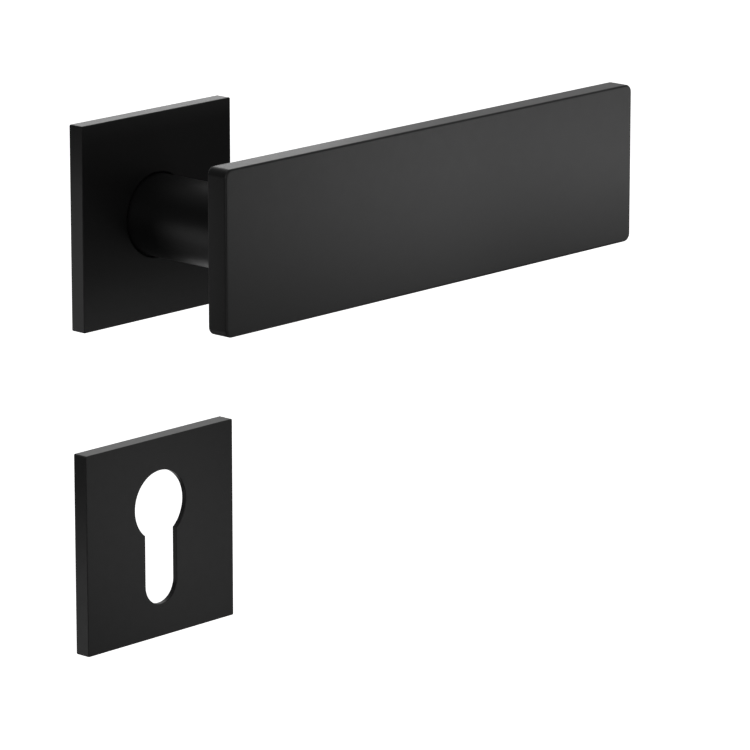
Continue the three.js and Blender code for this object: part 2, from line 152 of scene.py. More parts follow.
def rectangle(low, high, radius, steps=4):
    """A rectangle with rounded corners, from low to high, each an (x, z) pair."""
    smallest = 0.02 * MM

    def outline(inset):
        corner = max(radius - inset, smallest)
        right, left = high[0] - inset - corner, low[0] + inset + corner
        top, bottom = high[1] - inset - corner, low[1] + inset + corner
        quarter = TURN / 4
        points = []
        for i, centre in enumerate(((right, top), (left, top), (left, bottom), (right, bottom))):
            points += arc(centre, corner, i * quarter, (i + 1) * quarter, steps)
        return points

    return outline


def cross(across, arm):
    """A plus sign: the width across it and the width of its arms."""

    def outline(inset):
        wide, thin = across / 2 - inset, arm / 2 - inset
        quadrant = [(wide, -thin), (wide, thin), (thin, thin)]
        points = []
        for _ in range(4):
            points += quadrant
            quadrant = [(-z, x) for x, z in quadrant]
        return points

    return outline


def keyhole(centre, grown=0.0):
    """The euro profile, a circle with a slot below it, centred at a height. It can be grown."""
    round_z = centre + CUTOUT_HEIGHT / 2 - CUTOUT_RADIUS
    slot_z = centre - CUTOUT_HEIGHT / 2 + CUTOUT_SLOT

    def outline(inset):
        large, small = CUTOUT_RADIUS + grown - inset, CUTOUT_SLOT + grown - inset
        meet = math.asin(small / large)
        points = arc((0.0, round_z), large, meet - TURN / 4, 3 * TURN / 4 - meet, 72)
        return points + arc((0.0, slot_z), small, TURN / 2, TURN, 32)

    return outline


def eared_disc(radius, ear, distance, direction):
    """A disc with two round ears, on opposite sides. direction is an ear's angle from +X."""

    def outline(inset):
        large, small = radius - inset, ear - inset
        at_disc = math.acos((distance**2 + large**2 - small**2) / (2 * distance * large))
        at_ear = math.acos((distance**2 + small**2 - large**2) / (2 * distance * small))
        points = []
        for turn in (direction, direction + TURN / 2):
            centre = (distance * math.cos(turn), distance * math.sin(turn))
            round_ear = TURN / 2 - at_ear
            points += arc(centre, small, turn - round_ear, turn + round_ear, 20)
            points += arc((0.0, 0.0), large, turn + at_disc, turn + TURN / 2 - at_disc, 60)[1:-1]
        return points

    return outline


def sector(inner, outer, start, end):
    """A piece of a ring between two angles in degrees."""

    def outline(inset):
        begin, stop = math.radians(start), math.radians(end)
        outside = arc((0.0, 0.0), outer - inset, begin + inset / outer, stop - inset / outer, 12)
        inside = arc((0.0, 0.0), inner + inset, stop - inset / inner, begin + inset / inner, 12)
        return outside + inside

    return outline


def leaf(chord, bow, thickness, crown):
    """A bowed strip whose middle is at x = crown."""

    def outline(inset):
        radius = ((chord / 2) ** 2 + bow**2) / (2 * bow)
        sweep = math.asin(chord / 2 / radius) - inset / radius
        centre = (crown - radius, 0.0)
        points = arc(centre, radius - inset, -sweep, sweep, 24)
        return points + arc(centre, radius - thickness + inset, sweep, -sweep, 24)

    return outline


def filleted(points, radius, steps=4, closed=False):
    """An open or closed line of 2D points with its corners rounded by circular arcs."""
    straight = 0.02  # half of a turn, in radians, that is too slight to round
    most = 0.49  # of a side that one arc may take
    count = len(points)
    out = []
    for i, here in enumerate(points):
        if not closed and i in (0, count - 1):
            out.append(tuple(here))
            continue
        corner = Vector(here)
        to_before = Vector(points[i - 1]) - corner
        to_after = Vector(points[(i + 1) % count]) - corner
        half_turn = (math.pi - to_before.angle(to_after)) / 2
        if half_turn < straight:
            out.append(tuple(here))
            continue
        side = min(to_before.length, to_after.length)
        reach = min(radius * math.tan(half_turn), most * side)
        start = corner + to_before.normalized() * reach
        end = corner + to_after.normalized() * reach
        weight = math.cos(half_turn)
        for step in range(steps + 1):
            t = step / steps
            a, b, c = (1 - t) ** 2, 2 * t * (1 - t) * weight, t**2
            out.append(tuple((a * start + b * corner + c * end) / (a + b + c)))
    return out


# ---- Meshes ------------------------------------------------------------------------------------


def shade(bm):
    """Makes all the faces smooth, and keeps the steep edges between them sharp."""
    for face in bm.faces:
        face.smooth = True
    for edge in bm.edges:
        edge.smooth = edge.calc_face_angle(0.0) < math.radians(SMOOTH_BELOW)


def finished(name, bm):
    """An object from a bmesh, with its faces turned outwards and shaded."""
    bmesh.ops.remove_doubles(bm, verts=bm.verts, dist=SAME_PLACE)
    bmesh.ops.recalc_face_normals(bm, faces=bm.faces)
    shade(bm)
    mesh = bpy.data.meshes.new(name)
    bm.to_mesh(mesh)
    bm.free()
    obj = bpy.data.objects.new(name, mesh)
    bpy.context.scene.collection.objects.link(obj)
    weighted = obj.modifiers.new("weighted", "WEIGHTED_NORMAL")
    weighted.keep_sharp = True
    return obj


def walled(name, *walls):
    """A closed solid from walls. A wall is a shape and the (inset, y) stations it passes through.

    The first stations of all the walls bound one flat face, and the last ones bound the other.
    """
    bm = bmesh.new()
    first_edges, last_edges = [], []
    for shape, stations in walls:
        loops = []
        for inset, y in stations:
            loops.append([bm.verts.new((x, y, z)) for x, z in shape(inset)])
        count = len(loops[0])
        for near, far in zip(loops, loops[1:]):
            for i in range(count):
                j = (i + 1) % count
                bm.faces.new((near[i], near[j], far[j], far[i]))
        for loop, edges in ((loops[0], first_edges), (loops[-1], last_edges)):
            edges.extend(bm.edges.get((loop[i - 1], loop[i])) for i in range(count))
    for edges in (first_edges, last_edges):
        bmesh.ops.triangle_fill(bm, use_beauty=True, use_dissolve=False, edges=edges)
    return finished(name, bm)


def prism(name, shape, front, back, rounding=0.0, holes=()):
    """A flat piece between two y values, with the edges of both its faces rounded."""
    if rounding == 0.0:
        return walled(name, *((each, [(0.0, front), (0.0, back)]) for each in (shape, *holes)))
    start = 1.2 * rounding  # far enough in for the whole arc
    rim = filleted([(start, front), (0.0, front), (0.0, back), (start, back)], rounding)
    hole_rim = [(-inset, y) for inset, y in rim]
    return walled(name, (shape, rim), *((hole, hole_rim) for hole in holes))


def lathed(name, profile, segments=96, closed=False):
    """A solid turned about the Y axis. Its (radius, y) points run axis to axis or in a loop."""
    bm = bmesh.new()
    rings = []
    for radius, y in profile:
        if radius < SAME_PLACE:
            rings.append([bm.verts.new((0.0, y, 0.0))])
            continue
        rings.append([bm.verts.new((x, y, z)) for x, z in circle(radius, segments)(0.0)])
    pairs = list(zip(rings, rings[1:]))
    if closed:
        pairs.append((rings[-1], rings[0]))
    for near, far in pairs:
        for i in range(segments):
            j = (i + 1) % segments
            corners = [near[k % len(near)] for k in (i, j)] + [far[k % len(far)] for k in (j, i)]
            unique = list(dict.fromkeys(corners))
            if len(unique) > 2:
                bm.faces.new(unique)
    return finished(name, bm)


def combine(obj, operation, others):
    """Joins the others to obj or cuts them out of it, for good, and removes them."""
    weighted = obj.modifiers["weighted"]
    weighted.show_viewport = False
    for other in others:
        modifier = obj.modifiers.new("combine", "BOOLEAN")
        modifier.operation = operation
        modifier.solver = "EXACT"
        modifier.object = other
    graph = bpy.context.evaluated_depsgraph_get()
    mesh = bpy.data.meshes.new_from_object(obj.evaluated_get(graph))
    for modifier in list(obj.modifiers):
        if modifier != weighted:
            obj.modifiers.remove(modifier)
    weighted.show_viewport = True
    bm = bmesh.new()
    bm.from_mesh(mesh)
    shade(bm)
    bm.to_mesh(mesh)
    bm.free()
    obj.data = mesh
    for other in others:
        bpy.data.objects.remove(other)


def carve(obj, *cutters):
    combine(obj, "DIFFERENCE", cutters)


def join(obj, *others):
    combine(obj, "UNION", others)


def moved(obj, x=0.0, y=0.0, z=0.0):
    """obj, with its mesh moved and its origin left where it is."""
    obj.data.transform(Matrix.Translation((x, y, z)))
    return obj


def swung(obj, axis, part_of_turn):
    """obj, with its mesh turned about an axis through the origin."""
    obj.data.transform(Matrix.Rotation(TURN * part_of_turn, 4, axis))
    return obj


# ---- Materials ---------------------------------------------------------------------------------

NOISE_LOW, NOISE_HIGH = 0.3, 0.7  # nearly all of a noise texture's values lie between these


class Nodes:
    """A short way to write a material's nodes."""

    def __init__(self, name):
        self.material = bpy.data.materials.new(name)
        self.material.use_nodes = True
        self.tree = self.material.node_tree
        self.tree.nodes.clear()
        output = self.tree.nodes.new("ShaderNodeOutputMaterial")
        self.shader = self.tree.nodes.new("ShaderNodeBsdfPrincipled")
        self.link(self.shader.outputs[0], output.inputs["Surface"])
        self.place = self.tree.nodes.new("ShaderNodeTexCoord").outputs["Object"]

    def link(self, source, target):
        self.tree.links.new(source, target)

    def stretched(self, scale):
        """The object coordinates multiplied by a scale for each axis."""
        mapping = self.tree.nodes.new("ShaderNodeMapping")
        mapping.inputs["Scale"].default_value = scale
        self.link(self.place, mapping.inputs["Vector"])
        return mapping.outputs["Vector"]

    def noise(self, size, detail=3.0, roughness=0.5, vector=None):
        """Noise whose features are about this many metres across."""
        node = self.tree.nodes.new("ShaderNodeTexNoise")
        node.inputs["Scale"].default_value = 1 / size
        node.inputs["Detail"].default_value = detail
        node.inputs["Roughness"].default_value = roughness
        self.link(vector or self.place, node.inputs["Vector"])
        return node.outputs["Fac"]

    def spread(self, noise, low, high):
        """Noise rescaled to run from low to high."""
        node = self.tree.nodes.new("ShaderNodeMapRange")
        node.inputs["From Min"].default_value = NOISE_LOW
        node.inputs["From Max"].default_value = NOISE_HIGH
        node.inputs["To Min"].default_value = low
        node.inputs["To Max"].default_value = high
        self.link(noise, node.inputs["Value"])
        return node.outputs["Result"]

    def ramp(self, value, *stops):
        """A colour for each (position, colour) stop."""
        node = self.tree.nodes.new("ShaderNodeValToRGB")
        elements = node.color_ramp.elements
        while len(elements) < len(stops):
            elements.new(0.5)
        for element, (position, colour) in zip(elements, stops):
            element.position = position
            element.color = (*colour, 1.0)
        self.link(value, node.inputs["Fac"])
        return node.outputs["Color"]

    def bump(self, height, depth):
        """A bump whose full height is this many metres."""
        node = self.tree.nodes.new("ShaderNodeBump")
        node.inputs["Strength"].default_value = 1.0
        node.inputs["Distance"].default_value = depth
        self.link(height, node.inputs["Height"])
        return node.outputs["Normal"]

    def set(self, **values):
        """Puts a number or colour on the shader, or links a node's output to it."""
        for name, value in values.items():
            socket = self.shader.inputs[name.replace("_", " ")]
            if isinstance(value, bpy.types.NodeSocket):
                self.link(value, socket)
            else:
                socket.default_value = value
        return self.material


def black_coat():
    """Satin black powder coat: a fine grain, with very faint clouding in its sheen."""
    n = Nodes("black_coat")
    grain = n.noise(0.16 * MM, detail=2.0)
    cloud = n.noise(14 * MM, detail=2.0)
    colour = n.ramp(cloud, (0.35, (0.0050, 0.0050, 0.0052)), (0.65, (0.0054, 0.0054, 0.0056)))
    roughness = n.spread(n.noise(2.2 * MM, detail=4.0), 0.42, 0.445)
    normal = n.bump(grain, 0.0035 * MM)
    return n.set(Base_Color=colour, Roughness=roughness, Normal=normal)


def zinc_casting():
    """Plain die-cast zinc: dull, with faint flow clouds and a fine cast skin."""
    n = Nodes("zinc_casting")
    flow = n.noise(7 * MM, detail=4.0, roughness=0.6)
    skin = n.noise(0.35 * MM, detail=3.0)
    colour = n.ramp(flow, (0.3, (0.36, 0.37, 0.385)), (0.7, (0.47, 0.48, 0.49)))
    roughness = n.spread(flow, 0.42, 0.58)
    return n.set(
        Base_Color=colour, Metallic=0.9, Roughness=roughness, Normal=n.bump(skin, 0.02 * MM)
    )


def plated_steel():
    """Zinc-plated steel: bright, a little blue and straw coloured in patches."""
    n = Nodes("plated_steel")
    patch = n.noise(3 * MM, detail=2.0)
    colour = n.ramp(
        patch, (0.3, (0.56, 0.585, 0.62)), (0.55, (0.63, 0.635, 0.63)), (0.75, (0.65, 0.63, 0.58))
    )
    roughness = n.spread(n.noise(0.6 * MM, detail=4.0), 0.24, 0.38)
    return n.set(
        Base_Color=colour,
        Metallic=1.0,
        Roughness=roughness,
        Normal=n.bump(n.noise(0.25 * MM), 0.006 * MM),
    )


def drawn_steel():
    """Drawn bar: fine lines along the bar, which lies along Y."""
    n = Nodes("drawn_steel")
    lines = n.noise(0.22 * MM, detail=3.0, vector=n.stretched((1.0, 0.02, 1.0)))
    patch = n.noise(9 * MM, detail=3.0)
    colour = n.ramp(patch, (0.3, (0.50, 0.51, 0.525)), (0.7, (0.60, 0.605, 0.61)))
    return n.set(
        Base_Color=colour,
        Metallic=1.0,
        Roughness=n.spread(lines, 0.26, 0.44),
        Normal=n.bump(lines, 0.008 * MM),
    )


def spring_steel():
    """Oil-tempered spring steel: dark and slightly mottled."""
    n = Nodes("spring_steel")
    patch = n.noise(1.5 * MM, detail=4.0)
    colour = n.ramp(patch, (0.3, (0.10, 0.105, 0.12)), (0.7, (0.19, 0.19, 0.2)))
    return n.set(
        Base_Color=colour,
        Metallic=1.0,
        Roughness=n.spread(patch, 0.3, 0.45),
        Normal=n.bump(n.noise(0.2 * MM), 0.005 * MM),
    )


def nylon():
    """Black moulded nylon, slightly waxy."""
    n = Nodes("nylon")
    cloud = n.noise(4 * MM, detail=2.0)
    colour = n.ramp(cloud, (0.3, (0.012, 0.012, 0.013)), (0.7, (0.018, 0.018, 0.019)))
    return n.set(
        Base_Color=colour,
        Roughness=n.spread(n.noise(0.5 * MM), 0.45, 0.6),
        Normal=n.bump(n.noise(0.3 * MM), 0.006 * MM),
    )


def floor_finish():
    """A white studio floor, lit from within so that it stays white under dim light."""
    n = Nodes("studio_floor")
    colour = n.ramp(n.noise(0.4, detail=3.0), (0.3, (0.93, 0.93, 0.93)), (0.7, (0.95, 0.95, 0.95)))
    return n.set(Base_Color=colour, Roughness=0.8, Emission_Color=colour, Emission_Strength=1.0)


COAT = black_coat()
ZINC = zinc_casting()
PLATED = plated_steel()
DRAWN = drawn_steel()
SPRING = spring_steel()
NYLON = nylon()


# ---- Putting pieces in place -------------------------------------------------------------------


def stand_for(obj, node, material):
    """Gives a new piece its finish, in place of a CAD node."""
    obj.data.materials.clear()
    obj.data.materials.append(material)
    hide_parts(node)


def settle(obj, body, node, material):
    """Puts a new piece on a body, in place of a CAD node."""
    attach(obj, body)
    stand_for(obj, node, material)


def dress(node, material):
    """Gives a CAD node a finish."""
    obj = frame["nodes"][node]
    obj.data.materials.clear()
    obj.data.materials.append(material)


# ---- The lever ---------------------------------------------------------------------------------


def lever_plate():
    low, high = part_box("lever_plate")
    corner, edge = 2.0 * MM, 0.8 * MM
    face = rectangle((low.x, low.z), (high.x, high.z), corner, steps=10)
    plate = prism("lever_grip", face, low.y, high.y, edge)
    settle(plate, "lever", "lever_plate", COAT)


def neck():
    """The shank, with the journal and its ring groove, the spindle's socket and the grub hole."""
    low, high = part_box("neck")
    plate_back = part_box("lever_plate")[1].y
    bush_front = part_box("bearing_bush")[0].y
    ring_low, ring_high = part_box("retaining_ring")
    radius = (high.x - low.x) / 2
    groove = JOURNAL - RING_GROOVE
    shoulder = bush_front - SLIP
    front = plate_back + 0.02 * MM  # a hair behind the lever plate, so that the two faces don't mix
    profile = [
        (0.0, front),
        (radius, front),
        (radius, shoulder),
        (JOURNAL, shoulder),
        (JOURNAL, ring_low.y - SLIP),
        (groove, ring_low.y - SLIP),
        (groove, ring_high.y + SLIP),
        (JOURNAL, ring_high.y + SLIP),
        (JOURNAL, high.y),
        (0.0, high.y),
    ]
    turned = filleted(profile, radius=0.15 * MM, steps=3)
    shank = lathed("lever_shank", turned, segments=128)
    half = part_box("spindle")[1].x + SLIP
    square = rectangle((-half, -half), (half, half), radius=0.3 * MM, steps=3)
    socket = prism("socket", square, SOCKET_FLOOR, high.y + BEYOND)
    grub_low, grub_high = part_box("grub_screw")
    bore = prism("bore", circle(GRUB_HOLE, 48), low.z - BEYOND, grub_high.z + BEYOND)
    swung(bore, "X", 1 / 4)
    carve(shank, socket, moved(bore, y=(grub_low.y + grub_high.y) / 2))
    settle(shank, "lever", "neck", COAT)


# ---- The covers --------------------------------------------------------------------------------


def cover(name, node, hole, hole_edge):
    """A thin square shell, open towards the door, with rounded edges and one hole in its front."""
    low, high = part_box(node)
    corner, edge = 0.35 * MM, 0.2 * MM
    inner = low.y + COVER_WALL
    outside = [
        (corner, low.y),
        (0.0, low.y),
        (0.0, high.y),
        (COVER_WALL, high.y),
        (COVER_WALL, inner),
    ]
    through = [(-corner, low.y), (0.0, low.y), (0.0, inner)]
    square = rectangle((low.x, low.z), (high.x, high.z), corner)
    shell = walled(name, (square, filleted(outside, edge)), (hole, filleted(through, hole_edge)))
    settle(shell, "fixed_set", node, COAT)


def rose_cover():
    neck_low, neck_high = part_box("neck")
    radius = (neck_high.x - neck_low.x) / 2 + NECK_GAP
    cover("rose_shell", "rose_cover", circle(radius), hole_edge=0.2 * MM)


def escutcheon_cover():
    low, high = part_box("escutcheon_cover")
    cutout = keyhole((low.z + high.z) / 2)
    cover("escutcheon_shell", "escutcheon_cover", cutout, hole_edge=0.25 * MM)


# ---- What lies behind the covers ---------------------------------------------------------------


HOUSING = eared_disc(HOUSING_RADIUS, LID_EAR, LID_EAR_DISTANCE, TURN / 8)
LID_SCREW_PLACES = (LID_EAR_DISTANCE / math.sqrt(2), -LID_EAR_DISTANCE / math.sqrt(2))


def screw_hole(x, z, front):
    """A cutter for a countersunk hole whose wide end is at y = front."""
    head, shank = SCREW_HEAD + SCREW_PLAY, SCREW_SHANK + SCREW_PLAY
    profile = [
        (0.0, front - BEYOND),
        (head, front - BEYOND),
        (head, front),
        (shank, front + head - shank),
        (shank, BEYOND),
        (0.0, BEYOND),
    ]
    return moved(lathed("hole", profile, 48), x, 0.0, z)


def drill(radius, x, z, front, back):
    return moved(prism("drill", circle(radius, 48), front, back), x, 0.0, z)


def clip_pocket(side, front, edge, centre_z):
    """A cutter for the pocket in a plate's left (-1) or right (1) edge that holds a cover clip."""
    half, depth = 6 * MM, 1.8 * MM
    outline = rectangle((edge - depth, -half), (edge + BEYOND, half), radius=0.3 * MM)
    pocket = prism("pocket", outline, front - BEYOND, BEYOND)
    if side < 0:
        swung(pocket, "Y", 1 / 2)
    return moved(pocket, z=centre_z - side * CLIP_RISE)


def casting_marks(places, y):
    """Cutters for the faint round marks that a mould's ejector pins leave on the face at y."""
    radius, depth = 1.6 * MM, 0.15 * MM
    return [drill(radius, x, z, y - depth, y + BEYOND) for x, z in places]


def rose_plate():
    low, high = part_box("rose_plate")
    square = rectangle((low.x, low.z), (high.x, high.z), PLATE_CORNER)
    plate = prism("rose_base", square, low.y, 0.0, PLATE_EDGE)
    join(plate, prism("housing", HOUSING, -OVERLAP, high.y, rounding=0.2 * MM))
    front, back = low.y - BEYOND, high.y + BEYOND
    cutters = [drill(SLEEVE + SLIP, 0.0, 0.0, front, HUB_BACK + BEYOND)]
    cutters.append(drill(CHAMBER, 0.0, 0.0, HUB_BACK, back))
    cutters += [screw_hole(0.0, z, low.y) for z in (FIXING_REACH, -FIXING_REACH)]
    cutters += [drill(BOLT_HOLE, x, 0.0, front, BEYOND) for x in (FIXING_REACH, -FIXING_REACH)]
    cutters += [clip_pocket(side, low.y, high.x, 0.0) for side in (-1, 1)]
    cutters += [drill(LID_PILOT, p, p, high.y - LID_PILOT_DEPTH, back) for p in LID_SCREW_PLACES]
    marks = (-MARK_REACH, MARK_REACH)
    cutters += casting_marks([(x, z) for x in marks for z in marks], 0.0)
    carve(plate, *cutters)
    lug_outer, split = CHAMBER + LUG_ROOT, DRIVER_DISC_BACK + LUG_GAP
    stop = prism("stop", sector(LUG_INNER, lug_outer, *STOP), HUB_BACK - OVERLAP, split)
    anchor = prism("anchor", sector(ANCHOR_INNER, lug_outer, *ANCHOR), split, high.y - SLIP)
    join(plate, stop, anchor)
    settle(plate, "fixed_set", "rose_plate", ZINC)


def escutcheon_plate():
    low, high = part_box("escutcheon_plate")
    centre = (low.z + high.z) / 2
    square = rectangle((low.x, low.z), (high.x, high.z), PLATE_CORNER)
    cutout = keyhole(centre, grown=3 * MM)
    plate = prism("escutcheon_base", square, low.y, high.y, PLATE_EDGE, [cutout])
    cutters = [clip_pocket(side, low.y, high.x, centre) for side in (-1, 1)]
    across, up = ESCUTCHEON_SCREW
    cutters += [screw_hole(side * across, centre + side * up, low.y) for side in (-1, 1)]
    marks = [(-MARK_REACH, centre + MARK_REACH), (MARK_REACH, centre - MARK_REACH)]
    cutters += casting_marks(marks, high.y)
    carve(plate, *cutters)
    settle(plate, "fixed_set", "escutcheon_plate", ZINC)


def housing_lid():
    low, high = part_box("housing_lid")
    hole = circle(LID_HOLE)
    lid = prism("spring_lid", HOUSING, low.y, high.y, rounding=0.12 * MM, holes=[hole])
    front, back = low.y - BEYOND, high.y + BEYOND
    carve(lid, *(drill(LID_SCREW_HOLE, place, place, front, back) for place in LID_SCREW_PLACES))
    settle(lid, "fixed_set", "housing_lid", PLATED)


def cover_clip(owner, side, word):
    """A leaf spring in a plate's edge, which grips its cover's side wall."""
    node = owner + "_clip_" + word
    low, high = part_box(node)
    crown = max(abs(low.x), abs(high.x))
    outline = leaf(CLIP_CHORD, CLIP_BOW, CLIP_THICKNESS, crown)
    strip = prism(node + "_leaf", outline, low.y, high.y, rounding=0.05 * MM)
    if side < 0:
        swung(strip, "Y", 1 / 2)
    moved(strip, z=(low.z + high.z) / 2)
    settle(strip, "fixed_set", node, SPRING)


def bearing_bush():
    low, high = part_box("bearing_bush")
    bore, flange = JOURNAL + SLIP, (high.x - low.x) / 2
    flange_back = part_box("rose_plate")[0].y
    profile = [
        (bore, low.y),
        (flange, low.y),
        (flange, flange_back),
        (SLEEVE, flange_back),
        (SLEEVE, high.y),
        (bore, high.y),
    ]
    turned = filleted(profile, radius=0.12 * MM, steps=3, closed=True)
    bush = lathed("bush", turned, closed=True)
    settle(bush, "fixed_set", "bearing_bush", NYLON)


def thrust_washer():
    low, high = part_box("thrust_washer")
    outer = (high.x - low.x) / 2
    play = 0.15 * MM
    bore = circle(JOURNAL + play)
    washer = prism("washer", circle(outer), low.y, high.y, rounding=0.08 * MM, holes=[bore])
    settle(washer, "lever", "thrust_washer", PLATED)


def return_spring():
    """A torsion spring whose straight legs leave the coil as tangents.

    Its back leg lies by the housing's anchor, its front leg by the driver's tang, and the coil
    winds between them.
    """
    low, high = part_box("return_spring")
    leg = math.sqrt(TANG_OUTER**2 - SPRING_COIL**2)
    leg_angle = math.atan2(leg, SPRING_COIL)
    start = math.radians(ANCHOR[1] + LEG_GAP) + leg_angle - TURN
    end = math.radians(TANG[0] - LEG_GAP) - leg_angle + SPRING_TURNS * TURN
    back, front = high.y - SPRING_WIRE, low.y + SPRING_WIRE

    def tangent(angle, y, distance):
        x = SPRING_COIL * math.cos(angle) - math.sin(angle) * distance
        return (x, y, SPRING_COIL * math.sin(angle) + math.cos(angle) * distance)

    steps = 48 * SPRING_TURNS
    points = [tangent(start, back, -leg), tangent(start, back, -leg / 2)]
    for i in range(steps + 1):
        t = i / steps
        points.append(tangent(start + (end - start) * t, back + (front - back) * t, 0.0))
    points += [tangent(end, front, leg / 2), tangent(end, front, leg)]
    curve = bpy.data.curves.new("spring", "CURVE")
    curve.dimensions = "3D"
    curve.bevel_depth = SPRING_WIRE
    curve.bevel_resolution = 5
    curve.use_fill_caps = True
    spline = curve.splines.new("POLY")
    spline.points.add(len(points) - 1)
    for point, place in zip(spline.points, points):
        point.co = (*place, 1.0)
    rough = bpy.data.objects.new("spring", curve)
    bpy.context.scene.collection.objects.link(rough)
    graph = bpy.context.evaluated_depsgraph_get()
    mesh = bpy.data.meshes.new_from_object(rough.evaluated_get(graph))
    bpy.data.objects.remove(rough)
    mesh.set_sharp_from_angle(angle=math.radians(50))
    spring = bpy.data.objects.new("torsion_spring", mesh)
    bpy.context.scene.collection.objects.link(spring)
    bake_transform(spring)
    stand_for(spring, "return_spring", SPRING)


def spring_driver():
    low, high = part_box("spring_driver")
    disc, edge = circle(DRIVER_RADIUS), 0.15 * MM
    driver = prism("driver", disc, low.y, DRIVER_DISC_BACK, edge)
    inside = DRIVER_DISC_BACK - OVERLAP
    tang = sector(LUG_INNER, TANG_OUTER, *TANG)
    join(
        driver,
        prism("hub", circle(DRIVER_HUB), inside, high.y, rounding=0.2 * MM),
        prism("tang", tang, inside, high.y, edge),
    )
    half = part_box("spindle")[1].x + SLIP / 2
    square = rectangle((-half, -half), (half, half), radius=0.25 * MM)
    notch_from, notch_to = STOP[0] - STOP_GAP, STOP[1] + STOP_GAP + TRAVEL
    notch = sector(LUG_INNER - LUG_GAP, DRIVER_RADIUS + BEYOND, notch_from, notch_to)
    carve(
        driver,
        prism("square", square, low.y - BEYOND, high.y + BEYOND),
        prism("notch", notch, low.y - BEYOND, DRIVER_DISC_BACK + BEYOND),
    )
    settle(driver, "lever", "spring_driver", ZINC)


# ---- Screws and bars ---------------------------------------------------------------------------


def spindle():
    low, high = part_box("spindle")
    section = rectangle((low.x, low.z), (high.x, high.z), radius=0.35 * MM)
    chamfer = 0.6 * MM
    ends = [
        (2 * chamfer, low.y),
        (chamfer, low.y),
        (0.0, low.y + chamfer),
        (0.0, high.y - chamfer),
        (chamfer, high.y),
        (2 * chamfer, high.y),
    ]
    bar = walled("spindle_bar", (section, filleted(ends, radius=0.15 * MM, steps=2)))
    settle(bar, "lever", "spindle", DRAWN)


def cross_cutter(across, arm, front, back):
    """A cross-shaped cutter that narrows from front to back, for a screw's recess."""
    return walled("recess", (cross(across, arm), [(0.0, front), (0.22 * arm, back)]))


def wood_screw(name, node):
    """A countersunk wood screw with a cross recess and a coarse thread down to its point."""
    low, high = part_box(node)
    centre = (low + high) / 2
    head = (high.x - low.x) / 2
    outer, core = SCREW_SHANK, 1.15 * MM
    dome, plain = 0.2 * MM, 1.2 * MM  # the flat middle of the head, and the plain neck's length
    pitch, point = 1.5 * MM, 4.5 * MM
    crest_width = 0.26  # half of a crest's foot, as a part of the pitch
    bluntness = 0.8  # of the point: 1 is a straight cone
    neck_y = low.y + head - outer
    thread_start = neck_y + plain
    around, per_pitch = 32, 10
    bm = bmesh.new()
    rings = []

    def ring(radius_at, y):
        verts = []
        for i in range(around):
            angle = TURN * i / around
            radius = radius_at(angle)
            verts.append(bm.verts.new((radius * math.cos(angle), y, radius * math.sin(angle))))
        rings.append(verts)

    above_thread = [(dome, low.y), (head, low.y), (outer, neck_y), (outer, thread_start)]
    for radius, y in filleted(above_thread, radius=0.12 * MM, steps=3):
        ring(lambda _, r=radius: r, y)
    step = pitch / per_pitch
    rows = int((high.y - thread_start) / step)
    for row in range(1, rows):
        y = thread_start + row * step
        left = high.y - y
        taper = min(1.0, left / point)
        fade_in = min(1.0, row * step / pitch)

        def radius_at(angle, y=y, taper=taper, fade_in=fade_in):
            phase = ((y - thread_start) / pitch - angle / TURN) % 1.0
            crest = max(0.0, 1.0 - abs(phase - 0.5) / crest_width)
            body = outer + (core - outer) * fade_in
            return taper**bluntness * (body + (outer - body) * crest)

        ring(radius_at, y)
    tip = bm.verts.new((0.0, high.y, 0.0))
    for near, far in zip(rings, rings[1:]):
        for i in range(around):
            j = (i + 1) % around
            bm.faces.new((near[i], near[j], far[j], far[i]))
    for i in range(around):
        bm.faces.new((rings[-1][i], rings[-1][(i + 1) % around], tip))
    bm.faces.new(rings[0])
    screw = finished(name, bm)
    across, arm, depth = 3.8 * MM, 0.95 * MM, 1.3 * MM
    carve(screw, cross_cutter(across, arm, low.y - BEYOND, low.y + depth))
    moved(screw, centre.x, 0.0, centre.z)
    settle(screw, "fixed_set", node, PLATED)


def pan_screw(name, node):
    """A small pan head screw whose head is towards +Y, with a cross recess."""
    low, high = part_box(node)
    centre = (low + high) / 2
    head = (high.x - low.x) / 2
    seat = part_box("housing_lid")[1].y
    shank, point = 1.0 * MM, 0.6 * MM
    crown, crown_height = 0.5 * MM, 0.25 * MM
    profile = [
        (0.0, low.y),
        (shank / 2, low.y),
        (shank, low.y + point),
        (shank, seat),
        (head, seat),
        (head, high.y - crown_height),
        (head - crown, high.y),
        (0.0, high.y),
    ]
    screw = lathed(name, filleted(profile, radius=0.18 * MM, steps=4), segments=48)
    across, arm, depth = 2.2 * MM, 0.5 * MM, 0.75 * MM
    carve(screw, cross_cutter(across, arm, high.y + BEYOND, high.y - depth))
    moved(screw, centre.x, 0.0, centre.z)
    settle(screw, "fixed_set", node, PLATED)


def grub_screw():
    """The set screw in the neck's underside, with a hexagon socket facing down."""
    low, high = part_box("grub_screw")
    centre = (low + high) / 2
    half = (high.z - low.z) / 2
    radius = (high.x - low.x) / 2
    chamfer = 0.35 * MM
    key, key_depth = 3.0 * MM / math.sqrt(3), 2.6 * MM
    straight = [(0.8 * MM, -half), (0.0, -half + chamfer), (0.0, half - chamfer)]
    rim = filleted(straight, radius=0.05 * MM, steps=1) + [(0.6 * MM, half)]
    body = walled("set_screw", (circle(radius, 48), rim))
    carve(body, prism("key", circle(key, 6), -half - BEYOND, -half + key_depth))
    moved(swung(body, "X", 1 / 4), y=centre.y, z=centre.z)
    settle(body, "lever", "grub_screw", PLATED)


# ---- The scene ---------------------------------------------------------------------------------


